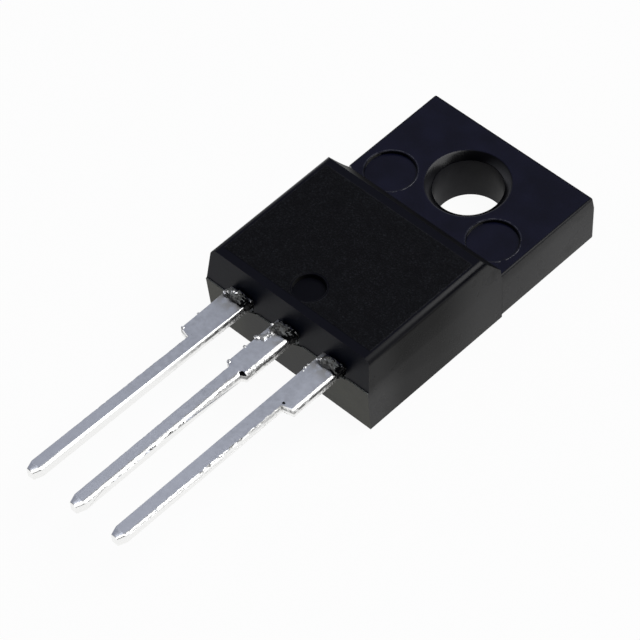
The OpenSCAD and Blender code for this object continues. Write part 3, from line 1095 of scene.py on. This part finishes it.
class OBJECT_OT_plated_leads(bpy.types.Operator):
    """Model the three stamped leads with plating, sheared sides and burrs"""

    bl_idname = "transistor.plated_leads"
    bl_label = "Plated leads"

    def execute(self, context):
        s = sizes(context)
        look = context.scene.transistor_finish
        rng = random.Random(LEAD_SEED)
        noise.seed_set(LEAD_SEED)
        materials = {
            "top": plating_finish(look),
            "cut_side": sheared_finish(look, s["rolled_edge"]),
            "burr": metal_crumb_finish(look),
            "notch": skin_finish(look, "dark_notch", 0.6, (1, 1, 1), 0.6, 0.1),
        }
        for name, axis in lead_middles():
            lead = dressed_lead(name, axis, s)
            burrs, notches = lead_damage(name, axis, s, rng)
            strew(lead, burrs, rng)
            for centre, radius in notches:
                combine(lead, rugged_lump(centre, (radius, radius, radius), 0.02, rng, 2), "DIFFERENCE")
            finish_mesh(lead)
            wear(lead, materials, lead_places(burrs, notches))
            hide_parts(name)
            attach(lead, "root")
        return {"FINISHED"}


class OBJECT_OT_sealed_pieces(bpy.types.Operator):
    """Finish the die, its solder and the bond wires sealed in the moulding"""

    bl_idname = "transistor.sealed_pieces"
    bl_label = "Sealed pieces"

    def execute(self, context):
        look = context.scene.transistor_finish
        silicon = plain_metal("die_metal", look.silicon, 0.35, 6)
        solder = plain_metal("die_solder", look.solder, 0.5, 10)
        wire = plain_metal("bond_wire", look.wire, 0.3, 8)
        given = {"silicon_die": silicon, "die_solder": solder}
        for name, node in NODES.items():
            if name in given or "_wire" in name:
                wear(node, {"all": given.get(name, wire)})
        return {"FINISHED"}


class OBJECT_OT_studio(bpy.types.Operator):
    """Set up the pale floor, the soft lights, the room and the camera"""

    bl_idname = "transistor.studio"
    bl_label = "Studio"

    def execute(self, context):
        studio = context.scene.transistor_studio
        self.floor()
        self.room(context, studio)
        self.lights(context, studio)
        self.camera(context, studio)
        context.scene.view_settings.view_transform = "Standard"
        return {"FINISHED"}

    @staticmethod
    def floor():
        """Paper under the part, which the camera and mirrors see nearly white."""
        bm = bmesh.new()
        bmesh.ops.create_grid(bm, x_segments=1, y_segments=1, size=2000)
        bmesh.ops.translate(bm, verts=bm.verts, vec=(0, 0, -0.01))
        floor = make_object(bm, "studio_floor", MM)
        finish = Finish("floor_paper")
        seen = finish.add("ShaderNodeLightPath")
        direct = Value(finish, seen.outputs["Is Camera Ray"]) * 0.95
        mirrored = Value(finish, seen.outputs["Is Glossy Ray"]) * 0.95
        glow = finish.add("ShaderNodeEmission", {}, {"Color": (1, 1, 1, 1), "Strength": 1.0})
        finish.set(Base_Color=(0.8, 0.8, 0.8, 1), Roughness=0.9, Specular_IOR_Level=0.0)
        share = finish.add("ShaderNodeMixShader", {}, {
            0: direct.more(mirrored), 1: finish.shader.outputs[0], 2: glow.outputs[0]})
        output = finish.tree.nodes["Material Output"]
        finish.tree.links.new(share.outputs[0], output.inputs["Surface"])
        wear(floor, {"all": finish.material})

    @staticmethod
    def room(context, studio):
        """A room that is white to the camera and lights the part from its rear right and front left."""
        world = bpy.data.worlds.new("studio_room")
        context.scene.world = world
        world.use_nodes = True
        graph = Graph(world.node_tree)
        x, y, z = graph.parts(graph.add("ShaderNodeTexCoord").outputs["Generated"])
        low = (1 - z).less(1)
        lit_side = ((y - x) * 0.7 + 0.1).more(0) * low * low
        far = ((y - x) * 0.5 + 0.5).more(0).less(1)
        front_left = (y * -1 - x - 0.9).more(0) * 3 * low
        glow = lit_side * studio.horizon + far * studio.sky + front_left * studio.front_glow
        seen = Value(graph, graph.add("ShaderNodeLightPath").outputs["Is Camera Ray"])
        graph.fill(world.node_tree.nodes["Background"], {
            "Color": (0.88, 0.9, 1, 1), "Strength": seen.more(glow)})

    @staticmethod
    def lights(context, studio):
        lamp = bpy.data.lights.new("overhead_softbox", "AREA")
        lamp.shape = "SQUARE"
        lamp.size = studio.key_width
        lamp.energy = studio.key
        light = bpy.data.objects.new("overhead_softbox", lamp)
        light.location = Vector((0.16, 0.15, 0.39))
        aim = Vector((0, -8 * MM, 0)) - light.location
        light.rotation_euler = aim.to_track_quat("-Z", "Y").to_euler()
        context.scene.collection.objects.link(light)

    @staticmethod
    def camera(context, studio):
        level = math.cos(studio.elevation)
        back = Vector((
            math.sin(studio.azimuth) * level, -math.cos(studio.azimuth) * level, math.sin(studio.elevation)))
        right = Vector((0, 0, 1)).cross(back).normalized()
        up = back.cross(right)
        straight, tilt = math.cos(studio.roll), math.sin(studio.roll)
        rolled_right = right * straight + up * tilt
        rolled_up = up * straight - right * tilt
        aim = Vector((studio.aim_x, studio.aim_y, studio.aim_z))
        data = bpy.data.cameras.new("photo_camera")
        data.sensor_width = 36
        data.lens = studio.focal_pixels / PHOTO_WIDTH * data.sensor_width
        data.clip_start, data.clip_end = 0.005, 20
        camera = bpy.data.objects.new("photo_camera", data)
        turn = Matrix((rolled_right, rolled_up, back)).transposed().to_4x4()
        camera.matrix_world = Matrix.Translation(aim + back * studio.distance) @ turn
        context.scene.collection.objects.link(camera)
        context.scene.camera = camera


class VIEW3D_PT_transistor(bpy.types.Panel):
    """Lists the transistor's pieces and settings"""

    bl_label = "Power transistor"
    bl_space_type = "VIEW_3D"
    bl_region_type = "UI"
    bl_category = "Transistor"

    def draw(self, context):
        layout = self.layout
        for operator in OPERATORS:
            layout.operator(operator.bl_idname)
        scene = context.scene
        for group in (scene.transistor_body, scene.transistor_finish, scene.transistor_studio):
            box = layout.box()
            for name, setting in group.bl_rna.properties.items():
                if setting.type == "FLOAT":
                    box.prop(group, name)


OPERATORS = (OBJECT_OT_moulded_body, OBJECT_OT_plated_leads, OBJECT_OT_sealed_pieces, OBJECT_OT_studio)
GROUPS = (TransistorBody, TransistorFinish, TransistorStudio)
CLASSES = (*GROUPS, *OPERATORS, VIEW3D_PT_transistor)


def register():
    for cls in CLASSES:
        bpy.utils.register_class(cls)
    bpy.types.Scene.transistor_body = PointerProperty(type=TransistorBody)
    bpy.types.Scene.transistor_finish = PointerProperty(type=TransistorFinish)
    bpy.types.Scene.transistor_studio = PointerProperty(type=TransistorStudio)


def unregister():
    del bpy.types.Scene.transistor_body
    del bpy.types.Scene.transistor_finish
    del bpy.types.Scene.transistor_studio
    for cls in reversed(CLASSES):
        bpy.utils.unregister_class(cls)


def main():
    register()
    bpy.ops.transistor.moulded_body()
    bpy.ops.transistor.plated_leads()
    bpy.ops.transistor.sealed_pieces()
    bpy.ops.transistor.studio()


if __name__ == "__main__":
    main()
